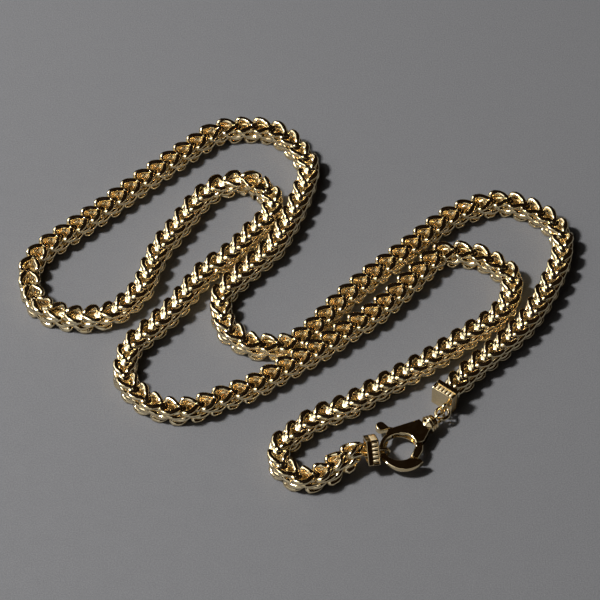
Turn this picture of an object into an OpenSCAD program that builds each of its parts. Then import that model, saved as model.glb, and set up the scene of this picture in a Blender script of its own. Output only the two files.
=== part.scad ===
// Franco chain necklace, closed by a lobster clasp and lying in loops on a flat surface.
// Millimetres, +Z up, the surface is z = 0 and the origin is under the middle of its box.

/* [Chain] */
// Width of the chain's square section, over the bumps of the links
chain_w = 4; // [3.8:0.05:4.1]
// Distance from one link to the next along one corner of the chain
link_pitch = 3.9; // [3.6:0.1:5]
// How far the section draws in at a corner between two links, as a share of its half diagonal
corner_dip = 0.2; // [0.05:0.05:0.3]
// Depth of the groove along the middle of each face, where the links from both corners dive in
face_groove = 0.3; // [0.1:0.05:0.5]

/* [End caps] */
// Width and height of each square end cap
cap_w = 5.4; // [5.2:0.1:5.6]
// Length of each end cap along the chain
cap_len = 2.65; // [2.5:0.05:2.8]
// Depth of the pocket that the end of the chain sits in
pocket_depth = 1.2; // [1:0.05:1.3]
// Roll of the second end cap, which stands on an edge
cap_roll = 40; // [35:1:45]

/* [Rings] */
// Thickness of the wire of the rings and loops
wire_d = 0.7; // [0.6:0.05:0.75]
// Radius of the loop on the first end cap, to the middle of its wire
loop_a_r = 1.1; // [1.05:0.05:1.15]
// Radius of the loop on the second end cap, to the middle of its wire
loop_b_r = 1.5; // [1.45:0.05:1.55]
// Radius of the jump ring, to the middle of its wire
jump_r = 1.4; // [1.35:0.05:1.45]
// Radius of the clasp's eye, to the middle of its wire
eye_r = 1.35; // [1.3:0.05:1.4]

/* [Clasp] */
// Thickness of the clasp's body
body_t = 2.4; // [2.2:0.1:2.6]
// Thickness of its hook
hook_t = 1.6; // [1.4:0.1:1.6]
// Radius of the round opening
opening_r = 3.45; // [3.35:0.05:3.5]
// Outer radius of the hook
hook_r = 5.2; // [5.1:0.05:5.25]
// Thickness of the lever inside the body
lever_t = 0.9; // [0.7:0.1:0.9]
// Thickness of the gate, the end of the lever that closes the opening
gate_t = 1.6; // [1.2:0.1:1.6]
// Diameter of the pin that the lever turns on
pin_d = 0.9; // [0.8:0.05:1]
// Radius of the largest disc of the collar behind the body
collar_r = 2; // [1.8:0.05:2.1]
// Radius of the thumb knob on the lever
knob_r = 1.1; // [0.9:0.05:1.15]

/* [Hidden] */
$fn = 48;

gold = "goldenrod";
pale_gold = "khaki";

// Moves the laid out loop so that its box is centred on the origin
centre_shift = [0.73, 0.98, 0];
// Small gap between pieces that lie against each other
piece_gap = 0.1;
// Running gap round the pin, and between the lever and the walls of its slot
pin_gap = 0.05;
slot_gap = 0.1;

// First end cap: the middle of its outer face, and the way from there to the chain
cap_first_at = [29.95, -29.1];
cap_first_turn = 52;
// Its loop is soldered on beside the middle of that face
loop_a_side = -1.6;
loop_a_out = 1.1;

// Second end cap: the same, from the chain to its outer face, rolled until it stands on an edge
cap_second_at = [16.3, -42.5];
cap_second_turn = 9;
loop_b_out = 0.8;

// Each end of the chain starts in its cap's pocket and comes out straight
pocket_floor = cap_len - pocket_depth + piece_gap;
straight = 2.2;
function from_cap(at, turn, way) = at + way * [cos(turn), sin(turn)];
FIRST_STOPS = [for (d = [0, straight]) from_cap(cap_first_at, cap_first_turn, pocket_floor + d)];
LAST_STOPS = [for (d = [straight, 0]) from_cap(cap_second_at, cap_second_turn, -pocket_floor - d)];

// Route of the chain's middle over the surface, from the first end cap to the second
ROUTE = concat(FIRST_STOPS, [
    [36.5, -21], [40.5, -17], [45.5, -12], [49.5, -7], [52.5, -1.5],
    [55, 4], [57, 9.5], [57.5, 15], [56, 19], [53, 22], [48.5, 24.5], [44.5, 25.5], [40, 24.5],
    [36.5, 23], [33, 21], [28.5, 17], [22.5, 11], [15, 4], [8.5, -3], [2.5, -10.5], [-2, -14],
    [-6.5, -14.5], [-10.5, -14], [-14, -11.5], [-16, -9], [-17, -5], [-17, -1], [-15.5, 1.5],
    [-13.5, 4], [-10.5, 7.5], [-6, 12.5], [-3.5, 17.5], [-2, 21], [0, 26.5], [1.5, 32],
    [2, 35.5], [0.5, 39], [-2.5, 43.5], [-7, 46.5], [-13.5, 47], [-18.5, 46], [-22.5, 43],
    [-33.5, 33], [-44, 23], [-55, 13], [-58, 9], [-59, 5.5], [-58.5, 1.5], [-57, -2.5],
    [-54.5, -5], [-52, -6], [-47.5, -7], [-43.5, -6.5], [-40.5, -5.5], [-37.5, -3],
    [-35.5, -0.5], [-34, 2], [-32.5, 7], [-30.5, 12.5], [-27.5, 17.5], [-24, 23.5],
    [-22, 26.5], [-19, 29.5], [-15.5, 31], [-12, 31.5], [-9, 30], [-7, 28], [-6, 25],
    [-7, 21], [-9.5, 18], [-13.5, 12.5], [-17, 9], [-20, 6.5], [-23.5, 1.5], [-27, -4],
    [-32, -10], [-34.5, -12.5], [-36.5, -15.5], [-37, -18.5], [-37.5, -21.5], [-36.5, -24.5],
    [-34.5, -27], [-32, -29.5], [-28.5, -31], [-25.5, -31.5], [-21, -30.5], [-17, -28.5],
    [-10.5, -25.5], [-4, -21], [4.5, -15], [10.5, -10], [15, -6.5], [19.5, -2], [26, 5.5],
    [28.5, 8.5], [30.5, 10.5], [33, 11], [35, 11], [39.5, 10], [43, 7.5], [45.5, 5],
    [46, 2], [45.5, -1.5], [44, -4.5], [41.5, -7.5], [37.5, -10.5], [32.5, -14.5],
    [28, -18], [21.5, -22.5], [17, -25.5], [10.5, -30], [4.5, -33], [1, -35.5], [-2, -38.5],
    [-4, -40.5], [-4.5, -42.5], [-4, -45.5], [-1.5, -48], [0.5, -49], [4, -48.5],
    [6.5, -47], [9, -45], [11, -43.8]], LAST_STOPS);
// The two halves of the chain meet at this point of the route, counted from 0
MEET = 67;

// The middle of the chain lifts towards each end cap, over these lengths
lift_first = cap_w / 2 - chain_w / 2;
lift_first_len = 9;
cap_second_z = cap_w / sqrt(2) * sin(45 + cap_roll) + 0.02;
lift_second = cap_second_z - chain_w / 2;
lift_second_len = 15;

// The jump ring's middle, and its tilt about a level line across it
jump_at = [30, -32.3, 2.5];
jump_tilt = 8;
jump_turn = 60;

// Clasp: the middle of its opening, its height and the way that its length points
clasp_at = [20.9, -41.3, 2.3];
clasp_turn = 36;
// The pin's place, from the middle of the opening
pivot_at = [5.2, 0.7];
// The middle of the hook's outer circle lies beside that of the opening
hook_at = [0.35, -0.87];
// Where the body ends and the collar begins, and the collar's and the eye's line
tail_x = 7.5;
tail_y = 1.4;
tail_half = 1.75;
collar_len = 2.8;
eye_x = 11.3;
// Ends of the slot that the lever turns in
slot_x0 = 0.4;
slot_x1 = 6.7;
// The gate's end keeps within this distance of the pin, so that it swings clear of the hook
gate_reach = 6.35;

// Curve through the route: a point between stops i and i + 1, at share t
function stop(i) = ROUTE[min(max(i, 0), len(ROUTE) - 1)];
function bend(a, b, c, d, t) =
    0.5 * (2 * b + (c - a) * t + (2 * a - 5 * b + 4 * c - d) * t * t
    + (3 * b - a - 3 * c + d) * t * t * t);
function on_route(i, t) = bend(stop(i - 1), stop(i), stop(i + 1), stop(i + 2), t);

// Fine points of the curve, and the length of chain up to each
steps = 8;
FINE = [for (i = [0:len(ROUTE) - 2], k = [0:steps - 1]) on_route(i, k / steps), stop(len(ROUTE) - 1)];
ALONG = [for (i = 0, s = 0; i < len(FINE);
              s = s + (i + 1 < len(FINE) ? norm(FINE[i + 1] - FINE[i]) : 0), i = i + 1) s];
X_TABLE = [for (i = [0:len(FINE) - 1]) [ALONG[i], FINE[i].x]];
Y_TABLE = [for (i = [0:len(FINE) - 1]) [ALONG[i], FINE[i].y]];
chain_len = ALONG[len(ALONG) - 1];
meet_len = ALONG[MEET * steps];

// Height, roll and place of the chain's middle after a length s of chain
function ease(t) = let (u = min(max(t, 0), 1)) u * u * (3 - 2 * u);
function end_share(s) = ease(1 - (chain_len - s) / lift_second_len);
function height(s) = chain_w / 2 + lift_first * ease(1 - s / lift_first_len) + lift_second * end_share(s);
function roll(s) = -cap_roll * end_share(s);
function middle(s) = [lookup(s, X_TABLE), lookup(s, Y_TABLE), height(s)];
function ahead(s) = let (d = middle(s + 0.6) - middle(s - 0.6)) d / norm(d);

// Every link gives one ring of the skin: links stand half a pitch apart, turned over each time,
// so the corners stand out by turns, the two upper corners at one link and the two lower at the next
half_diagonal = chain_w / sqrt(2);
function corner_out(k, j) = half_diagonal * (1 - (floor(j / 4) + k) % 2 * corner_dip);
function face_out() = chain_w / 2 - face_groove;
function out(k, j) = j % 2 == 0 ? face_out() : corner_out(k, j);
function skin_ring(s, k) =
    let (t = ahead(s), side = [-t.y, t.x, 0] / norm([t.x, t.y]), up = cross(t, side), m = middle(s))
    [for (j = [0:7]) let (a = 45 * j + roll(s), r = out(k, j)) m + side * r * cos(a) + up * r * sin(a)];

// Skin of a stretch of chain, from length s0 to s1
module skin(s0, s1) {
    n = round((s1 - s0) * 2 / link_pitch);
    points = [for (k = [0:n]) each skin_ring(s0 + (s1 - s0) * k / n, k)];
    sides = [for (k = [0:n - 1], j = [0:7])
        let (a = k * 8 + j, b = k * 8 + (j + 1) % 8) each [[a, a + 8, b], [b, a + 8, b + 8]]];
    start = [[for (j = [0:7]) j]];
    end = [[for (j = [7:-1:0]) n * 8 + j]];
    polyhedron(points, concat(start, sides, end), convexity = 10);
}

module chain_first_half() {
    color(gold) translate(centre_shift) skin(0, meet_len - piece_gap / 2);
}

module chain_second_half() {
    color(gold) translate(centre_shift) skin(meet_len + piece_gap / 2, chain_len);
}

// Round wire closed to a ring, lying level
module wire_ring(r) {
    rotate_extrude() translate([r, 0]) circle(d = wire_d, $fn = 24);
}

// End cap, its outer face at x = 0 and its pocket for the chain opening towards +X.
// A plain band lies next to the chain. The band beside it is sunk between two rims on all four
// sides, with plain raised bars on its floor.
band_x0 = 0.3;
band_x1 = 1.6;
band_depth = 0.25;
bar_count = 5;
bar_w = 0.5;
pocket_w = chain_w + 2 * piece_gap + 0.2;

module sunk_band() {
    for (quarter = [0:3]) rotate([90 * quarter, 0, 0])
        translate([band_x0, -cap_w / 2 + 0.4, cap_w / 2 - band_depth])
            cube([band_x1 - band_x0, cap_w - 0.8, 1]);
}

module bars() {
    span = cap_w - 1.9;
    for (quarter = [0:3], i = [0:bar_count - 1]) rotate([90 * quarter, 0, 0])
        translate([band_x0 + 0.1, -span / 2 + i * span / (bar_count - 1) - bar_w / 2, cap_w / 2 - 0.5])
            cube([band_x1 - band_x0 - 0.2, bar_w, 0.45]);
}

module cap_shell() {
    difference() {
        translate([0, -cap_w / 2, -cap_w / 2]) cube([cap_len, cap_w, cap_w]);
        sunk_band();
        translate([cap_len - pocket_depth, -pocket_w / 2, -pocket_w / 2])
            cube([pocket_depth + 1, pocket_w, pocket_w]);
    }
    bars();
}

module end_cap_first() {
    color(gold) translate(centre_shift)
        translate([cap_first_at.x, cap_first_at.y, cap_w / 2]) rotate(cap_first_turn) {
            cap_shell();
            translate([-loop_a_out, loop_a_side, 0]) rotate([90, 0, 0]) wire_ring(loop_a_r);
        }
}

module end_cap_second() {
    color(gold) translate(centre_shift)
        translate([cap_second_at.x, cap_second_at.y, cap_second_z]) rotate(cap_second_turn) {
            rotate([-cap_roll, 0, 0]) mirror([1, 0, 0]) cap_shell();
            translate([loop_b_out, 0, clasp_at.z - cap_second_z]) rotate([90, 0, 0]) wire_ring(loop_b_r);
        }
}

module jump_ring() {
    color(pale_gold) translate(centre_shift + jump_at)
        rotate(jump_turn) rotate([0, -jump_tilt, 0]) wire_ring(jump_r);
}

// Places a piece of the clasp, drawn about the middle of its opening
module on_clasp() {
    translate(centre_shift + clasp_at) rotate(clasp_turn) children();
}

// Plate of thickness t, half of it above and half below the clasp's middle
module plate(t) {
    translate([0, 0, -t / 2]) linear_extrude(t) children();
}

// Outline of the body between the hook and the collar
module body_outline() {
    polygon([[-0.7, 4.2], [1.2, 4.95], [tail_x, tail_y + tail_half], [tail_x, tail_y - tail_half],
             [4.9, -1.8], [2.4, -1.2]]);
}

// The side of the opening that the gate closes
module gate_way() {
    polygon([[2.2, -1.1], [4.9, -1.8], [9, -1.8], [9, -9], [2.1, -9], [1.5, -4.85], [-0.1, -3.2]]);
}

// Turned collar: a flare from the body, two grooves and a rounded end. Points are radius and length.
module collar() {
    r = collar_r;
    translate([tail_x, tail_y, 0]) rotate([0, 90, 0]) rotate_extrude()
        polygon([[0, -0.3], [1.1, -0.3], [1.15, 0], [r, 0.8], [r, 1.1], [r - 0.35, 1.15],
                 [r - 0.35, 1.35], [r - 0.1, 1.4], [r - 0.1, 1.75], [r - 0.45, 1.8],
                 [r - 0.45, 2], [r - 0.25, 2.05], [r - 0.3, collar_len - 0.3],
                 [r - 0.8, collar_len], [0, collar_len]]);
    translate([eye_x, tail_y, 0]) rotate([90, 0, 0]) wire_ring(eye_r);
}

module clasp_body() {
    color(gold) on_clasp() {
        difference() {
            union() {
                plate(body_t) body_outline();
                translate([hook_at.x, hook_at.y, -hook_t / 2]) cylinder(h = hook_t, r = hook_r, $fn = 96);
            }
            translate([0, 0, -body_t]) cylinder(h = 2 * body_t, r = opening_r, $fn = 96);
            plate(2 * body_t) gate_way();
            translate([slot_x0, -1.9, -lever_t / 2 - slot_gap])
                cube([slot_x1 - slot_x0, 9, lever_t + 2 * slot_gap]);
        }
        translate([pivot_at.x, pivot_at.y, -body_t / 2]) cylinder(h = body_t, d = pin_d);
        collar();
    }
}

// The lever: a thumb knob outside the spine, an arm through the body and the gate on the far side
module arm_outline() {
    polygon([[-0.5, 6.2], [0.5, 6.6], [2.6, 4.35], [5.9, 1.6], [5.9, 0], [4.9, -1.2], [4, -2.7],
             [2.9, -2], [3.2, -1.2], [4, 0.6], [3.6, 1.8], [1.4, 3.6]]);
}

module gate_outline() {
    intersection() {
        polygon([[3.6, -2.1], [4.4, -2.4], [3.4, -3.5], [1.2, -4.6], [-0.5, -4.6], [0, -3.1],
                 [1.55, -2.45], [2.6, -1.7]]);
        translate(pivot_at) circle(r = gate_reach, $fn = 96);
    }
}

module clasp_lever() {
    color(pale_gold) on_clasp()
        difference() {
            union() {
                plate(lever_t) arm_outline();
                plate(gate_t) gate_outline();
                translate([pivot_at.x, pivot_at.y, -lever_t / 2]) cylinder(h = lever_t, r = 1.1);
                translate([0, 6.7, 0]) sphere(r = knob_r, $fn = 32);
            }
            translate([pivot_at.x, pivot_at.y, -body_t]) cylinder(h = 2 * body_t, r = pin_d / 2 + pin_gap);
        }
}

chain_first_half();
chain_second_half();
end_cap_first();
end_cap_second();
jump_ring();
clasp_body();
clasp_lever();
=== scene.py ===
"""Franco chain necklace with box end caps and a lobster clasp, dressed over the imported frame.

Places and sizes repeat those of the part's source. They are in millimetres here too, and each
mesh is turned into metres when it is made.
"""
import math
import random

import bmesh
import bpy
import numpy as np
from mathutils import Matrix, Vector


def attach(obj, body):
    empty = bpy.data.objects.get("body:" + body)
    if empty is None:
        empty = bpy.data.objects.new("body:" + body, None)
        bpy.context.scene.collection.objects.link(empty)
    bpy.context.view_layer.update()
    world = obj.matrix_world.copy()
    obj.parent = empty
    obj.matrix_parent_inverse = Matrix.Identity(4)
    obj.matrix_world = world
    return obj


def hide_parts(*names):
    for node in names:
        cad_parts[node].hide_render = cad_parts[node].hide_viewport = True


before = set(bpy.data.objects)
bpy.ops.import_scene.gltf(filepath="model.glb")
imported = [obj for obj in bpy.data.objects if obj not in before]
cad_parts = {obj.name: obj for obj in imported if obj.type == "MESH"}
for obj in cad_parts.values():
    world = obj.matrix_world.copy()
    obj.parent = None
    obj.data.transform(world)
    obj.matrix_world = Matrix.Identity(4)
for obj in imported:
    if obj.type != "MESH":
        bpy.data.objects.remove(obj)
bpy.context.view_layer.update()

MM = 0.001

# Places and sizes taken over from the part's source
CENTRE_SHIFT = np.array([0.73, 0.98, 0.0])
CHAIN_W = 4.0
LINK_PITCH = 3.9
CAP_W = 5.4
CAP_LEN = 2.65
CAP_ROLL = 40.0
POCKET_DEPTH = 1.2
POCKET_W = 4.4
POCKET_FLOOR = 1.55
STRAIGHT = 2.2
CAP_FIRST_AT, CAP_FIRST_TURN = (29.95, -29.1), 52.0
CAP_SECOND_AT, CAP_SECOND_TURN = (16.3, -42.5), 9.0
LIFT_FIRST_LEN = 9.0
LIFT_SECOND_LEN = 15.0
BAND_X0, BAND_X1, BAND_DEPTH, BAND_INSET = 0.3, 1.6, 0.25, 0.4
BAR_COUNT, BAR_W, BAR_HEIGHT, BAR_SPAN = 5, 0.5, 0.2, CAP_W - 1.9
WIRE_R = 0.35
LOOP_A_R, LOOP_A_AT = 1.1, (-1.1, -1.6, 0.0)
LOOP_B_R, LOOP_B_OUT = 1.5, 0.8
JUMP_R, JUMP_AT, JUMP_TILT, JUMP_TURN = 1.4, (30.0, -32.3, 2.5), 8.0, 60.0
CLASP_AT, CLASP_TURN = (20.9, -41.3, 2.3), 36.0
OPENING_R, HOOK_R, HOOK_AT = 3.45, 5.2, (0.35, -0.87)
PIVOT_AT, PIN_R, PIN_GAP = (5.2, 0.7), 0.45, 0.05
TAIL_X, TAIL_Y, TAIL_HALF = 7.5, 1.4, 1.75
KNOB_R = 1.1
EYE_X, EYE_R = 11.3, 1.35


def from_cap(at, turn, way):
    """Point on a cap's axis, a length away from its outer face."""
    a = math.radians(turn)
    return (at[0] + way * math.cos(a), at[1] + way * math.sin(a))


FIRST_STOPS = [from_cap(CAP_FIRST_AT, CAP_FIRST_TURN, POCKET_FLOOR + d) for d in (0, STRAIGHT)]
LAST_STOPS = [from_cap(CAP_SECOND_AT, CAP_SECOND_TURN, -POCKET_FLOOR - d) for d in (STRAIGHT, 0)]

# Route of the chain's middle over the surface, the stops that the part's source has
ROUTE = FIRST_STOPS + [
    (36.5, -21), (40.5, -17), (45.5, -12), (49.5, -7), (52.5, -1.5),
    (55, 4), (57, 9.5), (57.5, 15), (56, 19), (53, 22), (48.5, 24.5), (44.5, 25.5), (40, 24.5),
    (36.5, 23), (33, 21), (28.5, 17), (22.5, 11), (15, 4), (8.5, -3), (2.5, -10.5), (-2, -14),
    (-6.5, -14.5), (-10.5, -14), (-14, -11.5), (-16, -9), (-17, -5), (-17, -1), (-15.5, 1.5),
    (-13.5, 4), (-10.5, 7.5), (-6, 12.5), (-3.5, 17.5), (-2, 21), (0, 26.5), (1.5, 32),
    (2, 35.5), (0.5, 39), (-2.5, 43.5), (-7, 46.5), (-13.5, 47), (-18.5, 46), (-22.5, 43),
    (-33.5, 33), (-44, 23), (-55, 13), (-58, 9), (-59, 5.5), (-58.5, 1.5), (-57, -2.5),
    (-54.5, -5), (-52, -6), (-47.5, -7), (-43.5, -6.5), (-40.5, -5.5), (-37.5, -3),
    (-35.5, -0.5), (-34, 2), (-32.5, 7), (-30.5, 12.5), (-27.5, 17.5), (-24, 23.5),
    (-22, 26.5), (-19, 29.5), (-15.5, 31), (-12, 31.5), (-9, 30), (-7, 28), (-6, 25),
    (-7, 21), (-9.5, 18), (-13.5, 12.5), (-17, 9), (-20, 6.5), (-23.5, 1.5), (-27, -4),
    (-32, -10), (-34.5, -12.5), (-36.5, -15.5), (-37, -18.5), (-37.5, -21.5), (-36.5, -24.5),
    (-34.5, -27), (-32, -29.5), (-28.5, -31), (-25.5, -31.5), (-21, -30.5), (-17, -28.5),
    (-10.5, -25.5), (-4, -21), (4.5, -15), (10.5, -10), (15, -6.5), (19.5, -2), (26, 5.5),
    (28.5, 8.5), (30.5, 10.5), (33, 11), (35, 11), (39.5, 10), (43, 7.5), (45.5, 5),
    (46, 2), (45.5, -1.5), (44, -4.5), (41.5, -7.5), (37.5, -10.5), (32.5, -14.5),
    (28, -18), (21.5, -22.5), (17, -25.5), (10.5, -30), (4.5, -33), (1, -35.5), (-2, -38.5),
    (-4, -40.5), (-4.5, -42.5), (-4, -45.5), (-1.5, -48), (0.5, -49), (4, -48.5),
    (6.5, -47), (9, -45), (11, -43.8)] + LAST_STOPS
MEET = 67
# Points between two stops of the route, and between two stops of a link's wire
ROUTE_STEPS = 8
WIRE_STEPS = 12


def curve(a, b, c, d, steps):
    """Points of a smooth curve from b up to c, with a and d as their neighbours."""
    return [0.5 * (2 * b + (c - a) * t + (2 * a - 5 * b + 4 * c - d) * t ** 2
                   + (3 * b - a - 3 * c + d) * t ** 3) for t in np.arange(steps) / steps]


def lengths(points):
    """Length of a line of points up to each of them."""
    steps = np.linalg.norm(np.diff(points, axis=0), axis=1)
    return np.concatenate([[0.0], np.cumsum(steps)])


def fine_route():
    """Fine points of the smooth curve through the stops, and the length of chain up to each."""
    stops = np.array(ROUTE, float)
    last = len(stops) - 1
    points = []
    for i in range(last):
        points += curve(stops[max(i - 1, 0)], stops[i], stops[i + 1], stops[min(i + 2, last)], ROUTE_STEPS)
    points = np.array(points + [stops[last]])
    return points, lengths(points)


FINE, ALONG = fine_route()
CHAIN_LEN = ALONG[-1]
MEET_LEN = ALONG[MEET * ROUTE_STEPS]
CAP_SECOND_Z = CAP_W / math.sqrt(2) * math.sin(math.radians(45 + CAP_ROLL)) + 0.02
LIFT_FIRST = CAP_W / 2 - CHAIN_W / 2
LIFT_SECOND = CAP_SECOND_Z - CHAIN_W / 2

# The links are a little higher than the plain section, so their middle is raised off the surface
LINK_RAISE = 0.12
# The chain's direction at a place is taken from this far behind it to this far ahead
LOOK = 0.6


def ease(t):
    u = np.clip(t, 0.0, 1.0)
    return u * u * (3 - 2 * u)


def first_share(s):
    return 1 - ease(s / LIFT_FIRST_LEN)


def end_share(s):
    return ease(1 - (CHAIN_LEN - s) / LIFT_SECOND_LEN)


def middle(s):
    """Middle of the chain after a length s, one row per value of s."""
    s = np.asarray(s, float)
    raise_by = LINK_RAISE * (1 - first_share(s)) * (1 - end_share(s))
    z = CHAIN_W / 2 + LIFT_FIRST * first_share(s) + LIFT_SECOND * end_share(s) + raise_by
    x = np.interp(s, ALONG, FINE[:, 0])
    y = np.interp(s, ALONG, FINE[:, 1])
    past = np.maximum(s - CHAIN_LEN, 0) + np.minimum(s, 0)
    a0, a1 = math.radians(CAP_FIRST_TURN), math.radians(CAP_SECOND_TURN)
    x = x + np.where(s < 0, past * math.cos(a0), past * math.cos(a1))
    y = y + np.where(s < 0, past * math.sin(a0), past * math.sin(a1))
    return np.stack([x, y, z], axis=-1) + CENTRE_SHIFT


def frames(s):
    """Middle, sideways and upward directions of the section at s, rolled near the second cap."""
    ahead = middle(s + LOOK) - middle(s - LOOK)
    ahead /= np.linalg.norm(ahead, axis=-1, keepdims=True)
    side = np.stack([-ahead[..., 1], ahead[..., 0], 0 * ahead[..., 0]], axis=-1)
    side /= np.linalg.norm(side, axis=-1, keepdims=True)
    up = np.cross(ahead, side)
    roll = np.radians(-CAP_ROLL) * end_share(s)
    c, n = np.cos(roll)[..., None], np.sin(roll)[..., None]
    return middle(s), side * c + up * n, up * c - side * n


# Meshes: each shape is a pair, its points and its faces

def smooth_loop(stops, count):
    """Closed smooth curve through the stops, evenly spaced."""
    stops = np.array(stops, float)
    n = len(stops)
    points = []
    for i in range(n):
        points += curve(stops[i - 1], stops[i], stops[(i + 1) % n], stops[(i + 2) % n], WIRE_STEPS)
    points = np.array(points + [stops[0]])
    along = lengths(points)
    even = np.linspace(0, along[-1], count, endpoint=False)
    return np.stack([np.interp(even, along, points[:, k]) for k in range(3)], axis=-1)


def tube(points, radius, sides):
    """Tube round a closed curve, with as little twist as can be."""
    n = len(points)
    ahead = np.roll(points, -1, axis=0) - np.roll(points, 1, axis=0)
    ahead /= np.linalg.norm(ahead, axis=1, keepdims=True)
    out = np.zeros_like(points)
    start = np.cross(ahead[0], (1.0, 0.3, 0.2))
    out[0] = start / np.linalg.norm(start)
    for i in range(1, n):
        v = out[i - 1] - ahead[i] * np.dot(out[i - 1], ahead[i])
        out[i] = v / np.linalg.norm(v)
    last = out[-1] - ahead[0] * np.dot(out[-1], ahead[0])
    last /= np.linalg.norm(last)
    twist = math.atan2(np.dot(np.cross(last, out[0]), ahead[0]), np.dot(last, out[0]))
    angles = 2 * math.pi * np.arange(sides) / sides
    rings = []
    for i in range(n):
        a = angles + twist * i / n
        across = np.cross(ahead[i], out[i])
        rings.append(points[i] + radius * (np.cos(a)[:, None] * out[i] + np.sin(a)[:, None] * across))
    faces = [(i * sides + j, i * sides + (j + 1) % sides,
              (i + 1) % n * sides + (j + 1) % sides, (i + 1) % n * sides + j)
             for i in range(n) for j in range(sides)]
    return np.concatenate(rings), faces


RING_POINTS = 48
RING_SIDES = 16


def wire_ring(radius, place):
    """Round wire closed to a ring, level before it is placed."""
    turns = 2 * math.pi * np.arange(RING_POINTS) / RING_POINTS
    circle = np.stack([radius * np.cos(turns), radius * np.sin(turns), 0 * turns], axis=-1)
    return placed(tube(circle, WIRE_R, RING_SIDES), place)


def loft(outlines):
    """Closed skin through outlines that have the same number of points."""
    n = len(outlines[0])
    last = (len(outlines) - 1) * n
    faces = [(i * n + j, i * n + (j + 1) % n, (i + 1) * n + (j + 1) % n, (i + 1) * n + j)
             for i in range(len(outlines) - 1) for j in range(n)]
    faces += [tuple(range(n - 1, -1, -1)), tuple(last + j for j in range(n))]
    return np.concatenate(outlines), faces


def inset(outline, by):
    """The outline, which runs counterclockwise, moved inwards by a distance."""
    step = np.roll(outline, -1, axis=0) - outline
    step /= np.linalg.norm(step, axis=1, keepdims=True)
    inward = np.stack([-step[:, 1], step[:, 0]], axis=-1)
    both = inward + np.roll(inward, 1, axis=0)
    return outline + by * 2 * both / np.sum(both ** 2, axis=1, keepdims=True)


def slab(outline, half_height, bevel, under=None, steps=3):
    """Plate with rounded rims. The lower one can have radii of its own, one for each point, and the
    half height is a number, or a function of x."""
    outline = np.array(outline, float)
    turns = np.linspace(0, math.pi / 2, steps + 1)
    above = np.full(len(outline), bevel)
    below = above if under is None else np.array(under)
    rings = []
    for way, order, soft in ((-1, turns[::-1], below), (1, turns, above)):
        for t in order:
            flat = inset(outline, (soft * (1 - math.cos(t)))[:, None])
            high = half_height(flat[:, 0]) if callable(half_height) else half_height + 0 * flat[:, 0]
            z = way * (high - soft + soft * math.sin(t))
            rings.append(np.column_stack([flat, z]))
    return loft(rings)


def lathe(profile, sides=40):
    """Turned solid about the x axis. The profile's points are radius and place on the axis."""
    turns = 2 * math.pi * np.arange(sides) / sides
    rings = [np.stack([x + 0 * turns, r * np.cos(turns), r * np.sin(turns)], axis=-1)
             for r, x in profile]
    return loft(rings)


def arc(centre, radius, start, end, count):
    """Points of an arc, its angles in degrees."""
    turns = np.radians(np.linspace(start, end, count))
    return [(centre[0] + radius * math.cos(t), centre[1] + radius * math.sin(t)) for t in turns]


CORNER_POINTS = 5


def rounded_square(half, corner, x):
    """Square outline with rounded corners, across the x axis."""
    points = []
    for quarter in range(4):
        a, b = math.radians(90 * quarter), half - corner
        middle_y = b * (math.cos(a) - math.sin(a))
        middle_z = b * (math.sin(a) + math.cos(a))
        points += arc((middle_y, middle_z), corner, 90 * quarter, 90 * quarter + 90, CORNER_POINTS)
    return np.array([(x, y, z) for y, z in points])


def placed(shape, place):
    points, faces = shape
    turn = np.array(place)
    return points @ turn[:3, :3].T + turn[:3, 3], faces


def merged(shapes):
    points, faces = [], []
    base = 0
    for some, theirs in shapes:
        points.append(some)
        faces += [tuple(base + v for v in face) for face in theirs]
        base += len(some)
    return np.concatenate(points), faces


def turned(axis, degrees):
    return Matrix.Rotation(math.radians(degrees), 4, axis)


def moved(x, y, z=0.0):
    return Matrix.Translation((x, y, z))


def add_mesh(name, shape, material, smooth=True):
    points, faces = shape
    mesh = bpy.data.meshes.new(name)
    mesh.from_pydata([tuple(p) for p in points * MM], [], faces)
    mesh.validate()
    mesh.update()
    mesh.polygons.foreach_set("use_smooth", [smooth] * len(mesh.polygons))
    mesh.materials.append(material)
    piece = bpy.data.objects.new(name, mesh)
    bpy.context.scene.collection.objects.link(piece)
    return piece


SHARP = math.radians(50)


def face_outwards(piece):
    work = bmesh.new()
    work.from_mesh(piece.data)
    bmesh.ops.recalc_face_normals(work, faces=work.faces)
    work.to_mesh(piece.data)
    work.free()


def finish_metal(piece):
    """Outward normals, sharp edges kept sharp, and flat faces that stay flat beside rounded rims."""
    face_outwards(piece)
    piece.data.set_sharp_from_angle(angle=SHARP)
    even = piece.modifiers.new("even_normals", "WEIGHTED_NORMAL")
    even.keep_sharp = True


def cut(piece, shape):
    """Takes the room of a shape away from a piece."""
    tool = add_mesh("cutter", shape, piece.data.materials[0], smooth=False)
    face_outwards(piece)
    face_outwards(tool)
    step = piece.modifiers.new("cut", "BOOLEAN")
    step.operation = "DIFFERENCE"
    step.object = tool
    done = bpy.data.meshes.new_from_object(piece.evaluated_get(bpy.context.evaluated_depsgraph_get()))
    piece.modifiers.clear()
    piece.data = done
    bpy.data.objects.remove(tool)


def extend(piece, shape):
    """Adds a shape to a piece that has been cut."""
    more = add_mesh("more", shape, piece.data.materials[0])
    work = bmesh.new()
    work.from_mesh(piece.data)
    work.from_mesh(more.data)
    work.to_mesh(piece.data)
    work.free()
    bpy.data.objects.remove(more)


def stands_for(piece, node, body):
    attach(piece, body)
    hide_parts(node)


# Materials

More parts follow.
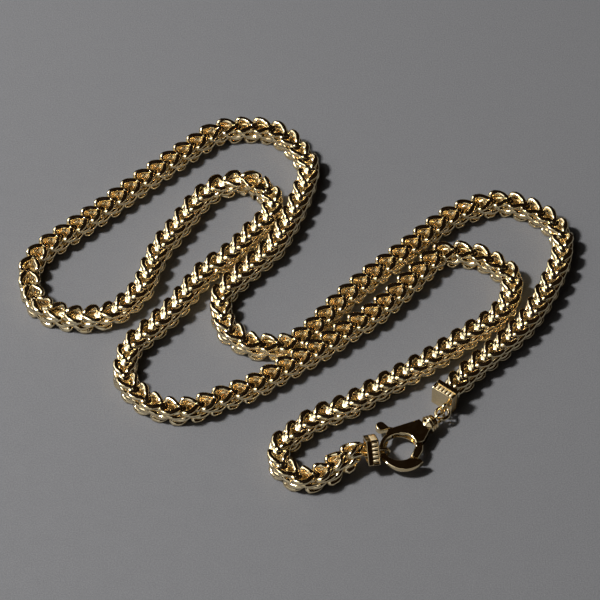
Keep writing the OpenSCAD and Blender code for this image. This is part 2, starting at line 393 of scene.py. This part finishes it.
def grain(nodes, links, scale, detail, stretch=(1, 1, 1)):
    """Noise over the object's own coordinates. The scale is in waves per millimetre."""
    place = nodes.new("ShaderNodeTexCoord")
    mapping = nodes.new("ShaderNodeMapping")
    mapping.inputs["Scale"].default_value = stretch
    noise = nodes.new("ShaderNodeTexNoise")
    noise.inputs["Scale"].default_value = scale / MM
    noise.inputs["Detail"].default_value = detail
    links.new(place.outputs["Object"], mapping.inputs["Vector"])
    links.new(mapping.outputs["Vector"], noise.inputs["Vector"])
    return noise.outputs["Fac"]


def blend_of(nodes, links, factor, first, second):
    """Colour that goes from the first to the second over the middle of a noise's range."""
    ramp = nodes.new("ShaderNodeValToRGB")
    ramp.color_ramp.elements[0].position = 0.35
    ramp.color_ramp.elements[1].position = 0.65
    ramp.color_ramp.elements[0].color = (*first, 1)
    ramp.color_ramp.elements[1].color = (*second, 1)
    links.new(factor, ramp.inputs["Fac"])
    return ramp.outputs["Color"]


def spread(nodes, links, factor, low, high):
    """Number between low and high, by a noise."""
    range_node = nodes.new("ShaderNodeMapRange")
    range_node.inputs["From Min"].default_value = 0.3
    range_node.inputs["From Max"].default_value = 0.7
    range_node.inputs["To Min"].default_value = low
    range_node.inputs["To Max"].default_value = high
    links.new(factor, range_node.inputs["Value"])
    return range_node.outputs["Result"]


def bumps(nodes, links, height, depth, below=None):
    """Bump of a depth in millimetres, laid over another one if there is one."""
    bump = nodes.new("ShaderNodeBump")
    bump.inputs["Strength"].default_value = 1.0
    bump.inputs["Distance"].default_value = depth * MM
    links.new(height, bump.inputs["Height"])
    if below:
        links.new(below, bump.inputs["Normal"])
    return bump.outputs["Normal"]


# Two tints of each gold finish, the roughness between its smooth and hazy spots, and the depths
# of its waves and scratches in millimetres
POLISHED_LINKS = ((0.96, 0.81, 0.53), (0.94, 0.76, 0.46), 0.08, 0.15, 0.003, 0.0006)
POLISHED_PLATE = ((0.95, 0.78, 0.48), (0.93, 0.74, 0.43), 0.06, 0.12, 0.003, 0.0006)
SATIN_BARS = ((0.97, 0.83, 0.56), (0.94, 0.76, 0.46), 0.42, 0.55, 0.01, 0.003)
BOARD_TINTS = ((0.096, 0.096, 0.100), (0.122, 0.121, 0.124))


def gold(name, pale, deep, smooth_to, rough_to, wave, scratch):
    """Polished gold plating: tint that varies, hazy spots, a faint wave and fine scratches."""
    material = bpy.data.materials.new(name)
    material.use_nodes = True
    nodes, links = material.node_tree.nodes, material.node_tree.links
    shader = nodes["Principled BSDF"]
    shader.inputs["Metallic"].default_value = 1.0
    tint = blend_of(nodes, links, grain(nodes, links, 0.5, 2), pale, deep)
    links.new(tint, shader.inputs["Base Color"])
    haze = spread(nodes, links, grain(nodes, links, 1.3, 4), smooth_to, rough_to)
    links.new(haze, shader.inputs["Roughness"])
    waves = bumps(nodes, links, grain(nodes, links, 0.7, 1), wave)
    lines = grain(nodes, links, 1.5, 3, stretch=(1, 14, 6))
    links.new(bumps(nodes, links, lines, scratch, waves), shader.inputs["Normal"])
    return material


def surface_material():
    """Matt grey board with soft mottling and a fine grain."""
    material = bpy.data.materials.new("grey_board")
    material.use_nodes = True
    nodes, links = material.node_tree.nodes, material.node_tree.links
    shader = nodes["Principled BSDF"]
    shader.inputs["Specular IOR Level"].default_value = 0.2
    tint = blend_of(nodes, links, grain(nodes, links, 3.5, 5), *BOARD_TINTS)
    links.new(tint, shader.inputs["Base Color"])
    links.new(spread(nodes, links, grain(nodes, links, 0.3, 3), 0.75, 0.95), shader.inputs["Roughness"])
    links.new(bumps(nodes, links, grain(nodes, links, 2.5, 4), 0.04), shader.inputs["Normal"])
    return material


# Chain

# Right half of one link, from the middle of its saddle, up through one arm to the tip of its
# eye and back. Stops: length along the chain, distance sideways, distance upwards.
LINK_STOPS = [(-1.75, 0, -1.6), (-1.7, 0.3, -1.55), (-1.15, 0.5, -1.1), (-0.4, 0.5, -0.4),
              (0.2, 0.45, 0.5), (0.7, 0.5, 1.2), (1.15, 0.75, 1.6), (1.7, 1.25, 1.7),
              (2.4, 1.72, 1.7), (3.1, 1.95, 1.65), (3.65, 1.85, 1.5), (3.95, 1.5, 1.2),
              (3.8, 1.25, 0.85), (3.2, 1.5, 0.6), (2.3, 1.75, 0.55), (1.4, 1.7, 0.25),
              (0.5, 1.3, -0.15), (-0.5, 1.0, -0.65), (-1.6, 0.85, -1.2), (-2.2, 0.55, -1.5),
              (-2.35, 0, -1.4)]
LINK_R = 0.62
LINK_POINTS = 64
LINK_SIDES = 8
# The links are ground flat at this distance from the chain's middle, above and below
FLAT_AT = 2.1
SIDE_AT = 2.4
# The saddle of each is ground like a roof that falls backwards from here and to both sides
SADDLE_FROM, SADDLE_AT, SADDLE_FALL, SADDLE_SIDE_FALL = -1.1, 2.0, 0.4, 0.2
# Half the room for links inside a cap, which they enter this far before the pocket's mouth
POCKET_ROOM = 2.15
MOUTH = 0.3
# The first and last links start here, their ends keep this far from the pockets' floors, and the
# links of the two halves keep this far from where the halves meet
FIRST_LINK = 0.3
END_ROOM = 0.1
MEET_ROOM = 0.03
# How far a link may reach past its own stretch of chain
REACH_PAST = 1.6
# Each link leans by up to this many degrees
LEAN = 1.5


def link():
    """One link, its wire run through the stops and their mirror image, with its saddle ground."""
    left = [(w, -o, h) for w, o, h in reversed(LINK_STOPS[1:-1])]
    points, faces = tube(smooth_loop(LINK_STOPS + left, LINK_POINTS), LINK_R, LINK_SIDES)
    behind = SADDLE_FROM - points[:, 0]
    roof = SADDLE_FALL * behind + SADDLE_SIDE_FALL * np.abs(points[:, 1]) - SADDLE_AT
    points[:, 2] = np.where(behind > 0, np.maximum(points[:, 2], roof), points[:, 2])
    return points, faces


def chain_links(name, node, s0, s1, forward, material, seed):
    """All links of a stretch of chain in one mesh along the route, each turned over from the last."""
    chance = random.Random(seed)
    flat, link_faces = link()
    count = int(round((s1 - s0) * 2 / LINK_PITCH))
    way = 1 if forward else -1
    links = []
    for k in range(count):
        root = (k + 0.5) * (s1 - s0) / count
        root = s0 + root if forward else s1 - root
        turn = 1 if k % 2 == 0 else -1
        lean = math.radians(chance.uniform(-LEAN, LEAN))
        out = flat[:, 1] * math.cos(lean) + flat[:, 2] * math.sin(lean)
        lift = flat[:, 2] * math.cos(lean) - flat[:, 1] * math.sin(lean)
        s = np.clip(root + way * flat[:, 0], s0 - REACH_PAST, s1 + REACH_PAST)
        s = np.clip(s, s0 if s0 > 1 else END_ROOM, s1 if s1 < CHAIN_LEN - 1 else CHAIN_LEN - END_ROOM)
        in_pocket = np.minimum(s, CHAIN_LEN - s) < POCKET_DEPTH + MOUTH
        wide = np.where(in_pocket, POCKET_ROOM, SIDE_AT)
        high = np.where(in_pocket, POCKET_ROOM, FLAT_AT)
        out = np.clip(out * way * turn, -wide, wide)
        lift = np.clip(lift * turn, -high, high)
        at, side, up = frames(s)
        links.append((at + side * out[:, None] + up * lift[:, None], link_faces))
    piece = add_mesh(name, merged(links), material)
    stands_for(piece, node, "necklace")


# End caps

# The raised bars keep this far from the ends of the sunk band, reach this far into its floor and
# have rims this round
BAR_ROOM = 0.1
BAR_ROOT = 0.1
BAR_RIM = 0.14
# Rims of the shell: the outer edges, the edges of the band and pocket, and its long corners
CAP_EDGE = 0.14
CAP_EDGE_STEP = 0.04
BAND_EDGE = 0.05
CAP_CORNER = 0.18
# Rim of the posts at the corners of the band, and how far they reach under its walls
POST_RIM = 0.08
POST_ROOT = 0.1


def block(x0, x1, y0, y1, z0, z1, bevel):
    """Block with rounded edges."""
    corners = [(x0, y0), (x1, y0), (x1, y1), (x0, y1)]
    return placed(slab(corners, (z1 - z0) / 2, bevel), moved(0, 0, (z0 + z1) / 2))


def cap_bars():
    """Plain raised bars on the floor of the sunk band, on all four sides."""
    floor = CAP_W / 2 - BAND_DEPTH
    bars = []
    for quarter in range(4):
        for i in range(BAR_COUNT):
            y = -BAR_SPAN / 2 + i * BAR_SPAN / (BAR_COUNT - 1)
            bar = block(BAND_X0 + BAR_ROOM, BAND_X1 - BAR_ROOM, y - BAR_W / 2, y + BAR_W / 2,
                        floor - BAR_ROOT, floor + BAR_HEIGHT, BAR_RIM)
            bars.append(placed(bar, turned("X", 90 * quarter)))
    return merged(bars)


def cap_shell():
    """Square cap, its outer face at x = 0, with a sunk band and a pocket for the chain."""
    half, deep = CAP_W / 2, CAP_W / 2 - BAND_DEPTH
    edge, step, soft = CAP_EDGE, CAP_EDGE_STEP, BAND_EDGE
    pocket = POCKET_W / 2
    profile = [(0, half - edge), (step, half - step), (edge, half), (BAND_X0 - soft, half),
               (BAND_X0, half - soft), (BAND_X0, deep), (BAND_X1, deep), (BAND_X1, half - soft),
               (BAND_X1 + soft, half), (CAP_LEN - edge, half), (CAP_LEN - step, half - step),
               (CAP_LEN, half - edge), (CAP_LEN, pocket + soft), (CAP_LEN - soft, pocket),
               (CAP_LEN - POCKET_DEPTH, pocket)]
    shapes = [loft([rounded_square(h, CAP_CORNER, x) for x, h in profile])]
    inner = half - BAND_INSET
    for quarter in range(4):
        post = block(BAND_X0 - POST_ROOT, BAND_X1 + POST_ROOT, inner, half, inner, half, POST_RIM)
        shapes.append(placed(post, turned("X", 90 * quarter)))
    return merged(shapes)


def end_cap(name, node, place, loop, material, bar_material):
    """One end cap with its loop, and its bars, which have a finish of their own."""
    cap = add_mesh(name, merged([placed(cap_shell(), place), loop]), material)
    finish_metal(cap)
    stands_for(cap, node, "necklace")
    bars = add_mesh(name + "_bars", placed(cap_bars(), place), bar_material)
    finish_metal(bars)
    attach(bars, "necklace")


def end_caps(material, bar_material):
    at = Matrix.Translation(CENTRE_SHIFT) @ moved(*CAP_FIRST_AT, CAP_W / 2) @ turned("Z", CAP_FIRST_TURN)
    loop = wire_ring(LOOP_A_R, at @ moved(*LOOP_A_AT) @ turned("X", 90))
    end_cap("cap_first", "end_cap_first", at, loop, material, bar_material)

    at = Matrix.Translation(CENTRE_SHIFT) @ moved(*CAP_SECOND_AT, CAP_SECOND_Z)
    at = at @ turned("Z", CAP_SECOND_TURN)
    rolled = at @ turned("X", -CAP_ROLL) @ turned("Z", 180)
    loop = wire_ring(LOOP_B_R, at @ moved(LOOP_B_OUT, 0, CLASP_AT[2] - CAP_SECOND_Z) @ turned("X", 90))
    end_cap("cap_second", "end_cap_second", rolled, loop, material, bar_material)


def jump_ring(material):
    place = Matrix.Translation(CENTRE_SHIFT) @ moved(*JUMP_AT)
    place = place @ turned("Z", JUMP_TURN) @ turned("Y", -JUMP_TILT)
    piece = add_mesh("round_jump_ring", wire_ring(JUMP_R, place), material)
    finish_metal(piece)
    stands_for(piece, "jump_ring", "necklace")


# Clasp, drawn about the middle of its opening

ON_CLASP = Matrix.Translation(CENTRE_SHIFT) @ moved(*CLASP_AT) @ turned("Z", CLASP_TURN)
# Half heights of the body at the far side of the hook and further on, and the length between them
HOOK_HALF = 0.8
BODY_HALF = 1.2
HOOK_FAR_X = -4.85
THICKENS_OVER = 12.95
# Rims of the body: above and along the opening, below at the hook's end, and below round the hook
BODY_RIM = 0.25
TIP_RIM = 0.4
HOOK_RIM = 0.85
# Half heights and rims of the slot in the body, and of the lever's arm, gate and knob
SLOT_HALF, SLOT_RIM = 0.55, 0.02
ARM_HALF, ARM_RIM = 0.45, 0.08
GATE_HALF, GATE_RIM = 0.8, 0.45
KNOB_HALF, KNOB_RIM = 0.85, 0.3
# The pin ends inside the body, and its hole goes right through the lever
PIN_HALF = 0.9
HOLE_HALF = 2.0
PIN_SIDES = 24


def body_half_height(x):
    """The body thins towards the far side of the hook."""
    return HOOK_HALF + (BODY_HALF - HOOK_HALF) * (x - HOOK_FAR_X) / THICKENS_OVER


def clasp_plate():
    """The body's back, the hook round to its end, and back along the opening. The hook's outer
    rim is rounder below than the others."""
    back = [(4.9, -1.8), (TAIL_X, TAIL_Y - TAIL_HALF), (TAIL_X, TAIL_Y + TAIL_HALF), (1.2, 4.95),
            (0.2, 4.75)]
    hook = arc(HOOK_AT, HOOK_R, 101.7, 274, 60)
    tip = [(1.63, -5.91), (1.5, -4.85), (-0.1, -3.45)]
    opening = arc((0, 0), OPENING_R, 262, -10, 76) + [(3.18, -1.35)]
    under = [BODY_RIM] * len(back) + [HOOK_RIM] * len(hook) + [TIP_RIM] * len(tip)
    under += [BODY_RIM] * len(opening)
    return slab(back + hook + tip + opening, body_half_height, BODY_RIM, under, steps=4)


def collar():
    """Turned collar with a flare, two grooves and a rounded end."""
    profile = [(0.05, -0.3), (1.1, -0.3), (1.2, 0.0), (1.6, 0.4), (1.9, 0.72), (2.0, 0.84),
               (2.0, 1.05), (1.94, 1.12), (1.66, 1.16), (1.66, 1.34), (1.84, 1.4), (1.9, 1.47),
               (1.9, 1.68), (1.84, 1.76), (1.55, 1.8), (1.55, 2.0), (1.7, 2.06), (1.74, 2.2),
               (1.68, 2.5), (1.45, 2.7), (1.2, 2.8), (0.05, 2.8)]
    return placed(lathe(profile), moved(TAIL_X, TAIL_Y))


def clasp_body(material):
    eye = wire_ring(EYE_R, moved(EYE_X, TAIL_Y) @ turned("X", 90))
    pin = lathe([(PIN_R, -PIN_HALF), (PIN_R, PIN_HALF)], PIN_SIDES)
    pin = placed(pin, moved(*PIVOT_AT) @ turned("Y", 90))
    piece = add_mesh("clasp_hook_body", placed(clasp_plate(), ON_CLASP), material)
    slot = [(0.4, -1.9), (6.7, -1.9), (6.7, 7.1), (0.4, 7.1)]
    cut(piece, placed(slab(slot, SLOT_HALF, SLOT_RIM, steps=1), ON_CLASP))
    extend(piece, placed(merged([collar(), eye, pin]), ON_CLASP))
    finish_metal(piece)
    stands_for(piece, "clasp_body", "necklace")


def clasp_lever(material):
    """Thumb knob outside the spine, an arm through the body and the gate on the far side."""
    arm = [(-0.2, 5.6), (0.6, 5.2), (1.4, 3.6), (3.6, 1.8), (4.0, 0.6), (3.2, -1.2), (2.9, -2.0),
           (4.0, -2.7), (4.9, -1.2), (5.9, 0.0), (5.9, 1.6), (2.6, 4.35), (0.5, 6.6)]
    gate = [(1.4, -4.4), (3.3, -3.5), (4.35, -2.4), (3.6, -2.1), (2.6, -1.7), (1.55, -2.45),
            (0.2, -3.15), (0.6, -3.75)]
    knob = arc((0, 6.7), KNOB_R, 20, 235, 24) + [(0.5, 5.3), (1.3, 5.1)]
    piece = add_mesh("clasp_gate_lever", placed(slab(arm, ARM_HALF, ARM_RIM), ON_CLASP), material)
    hole = lathe([(PIN_R + PIN_GAP, -HOLE_HALF), (PIN_R + PIN_GAP, HOLE_HALF)], PIN_SIDES)
    cut(piece, placed(hole, ON_CLASP @ moved(*PIVOT_AT) @ turned("Y", 90)))
    ends = merged([slab(gate, GATE_HALF, GATE_RIM), slab(knob, KNOB_HALF, KNOB_RIM)])
    extend(piece, placed(ends, ON_CLASP))
    finish_metal(piece)
    stands_for(piece, "clasp_lever", "lever")


# Stage

# The camera's height in degrees, its distance in metres and its lens in millimetres
CAMERA_ELEVATION = 52
CAMERA_DISTANCE = 0.72
CAMERA_LENS = 198.7
CAMERA_SENSOR = 36


def camera():
    """The photograph's view, from in front and above."""
    elevation = math.radians(CAMERA_ELEVATION)
    data = bpy.data.cameras.new("camera")
    data.sensor_width = CAMERA_SENSOR
    data.lens = CAMERA_LENS
    data.clip_start = 0.01
    data.clip_end = 10
    eye = bpy.data.objects.new("camera", data)
    bpy.context.scene.collection.objects.link(eye)
    target = Vector(CENTRE_SHIFT * MM)
    eye.location = target + CAMERA_DISTANCE * Vector((0, -math.cos(elevation), math.sin(elevation)))
    eye.rotation_euler = (math.pi / 2 - elevation, 0, 0)
    bpy.context.scene.camera = eye


# Lights: name, azimuth and elevation in degrees, size in metres, power in watts. All stand at
# the same distance in metres.
LIGHTS = [("key", 180, 55, 0.12, 15.0),
          ("softbox", 180, 50, 0.8, 2.0),
          ("front_fill", 245, 15, 0.8, 0.8),
          ("left_panel", 145, 30, 0.5, 0.9)]
LIGHT_DISTANCE = 0.9
# Faint warm light from all round
ROOM_COLOUR = (0.007, 0.004, 0.002, 1)
# Half the width of the surface in millimetres
SURFACE_HALF = 1200.0


def area_light(name, azimuth, elevation, size, power):
    """Square light that looks at the middle of the chain from a distance."""
    a, e = math.radians(azimuth), math.radians(elevation)
    data = bpy.data.lights.new(name, "AREA")
    data.size = size
    data.energy = power
    light = bpy.data.objects.new(name, data)
    away = Vector((math.cos(e) * math.cos(a), math.cos(e) * math.sin(a), math.sin(e)))
    light.location = LIGHT_DISTANCE * away
    light.rotation_euler = (-light.location).to_track_quat("-Z", "Y").to_euler()
    bpy.context.scene.collection.objects.link(light)


def surface():
    half = SURFACE_HALF
    corners = np.array([(-half, -half, 0), (half, -half, 0), (half, half, 0), (-half, half, 0)])
    add_mesh("surface", (corners, [(0, 1, 2, 3)]), surface_material(), smooth=False)


def studio():
    world = bpy.data.worlds.new("studio")
    world.use_nodes = True
    world.node_tree.nodes["Background"].inputs["Color"].default_value = ROOM_COLOUR
    bpy.context.scene.world = world
    bpy.context.scene.view_settings.view_transform = "Standard"
    for light in LIGHTS:
        area_light(*light)


camera()
surface()
studio()

link_gold = gold("polished_links", *POLISHED_LINKS)
plate_gold = gold("polished_plate", *POLISHED_PLATE)
satin_gold = gold("satin_bars", *SATIN_BARS)
chain_links("chain_links_first", "chain_first_half", FIRST_LINK, MEET_LEN - MEET_ROOM, True, link_gold, 1)
chain_links("chain_links_second", "chain_second_half", MEET_LEN + MEET_ROOM, CHAIN_LEN - FIRST_LINK,
            False, link_gold, 2)
end_caps(plate_gold, satin_gold)
jump_ring(plate_gold)
clasp_body(plate_gold)
clasp_lever(plate_gold)
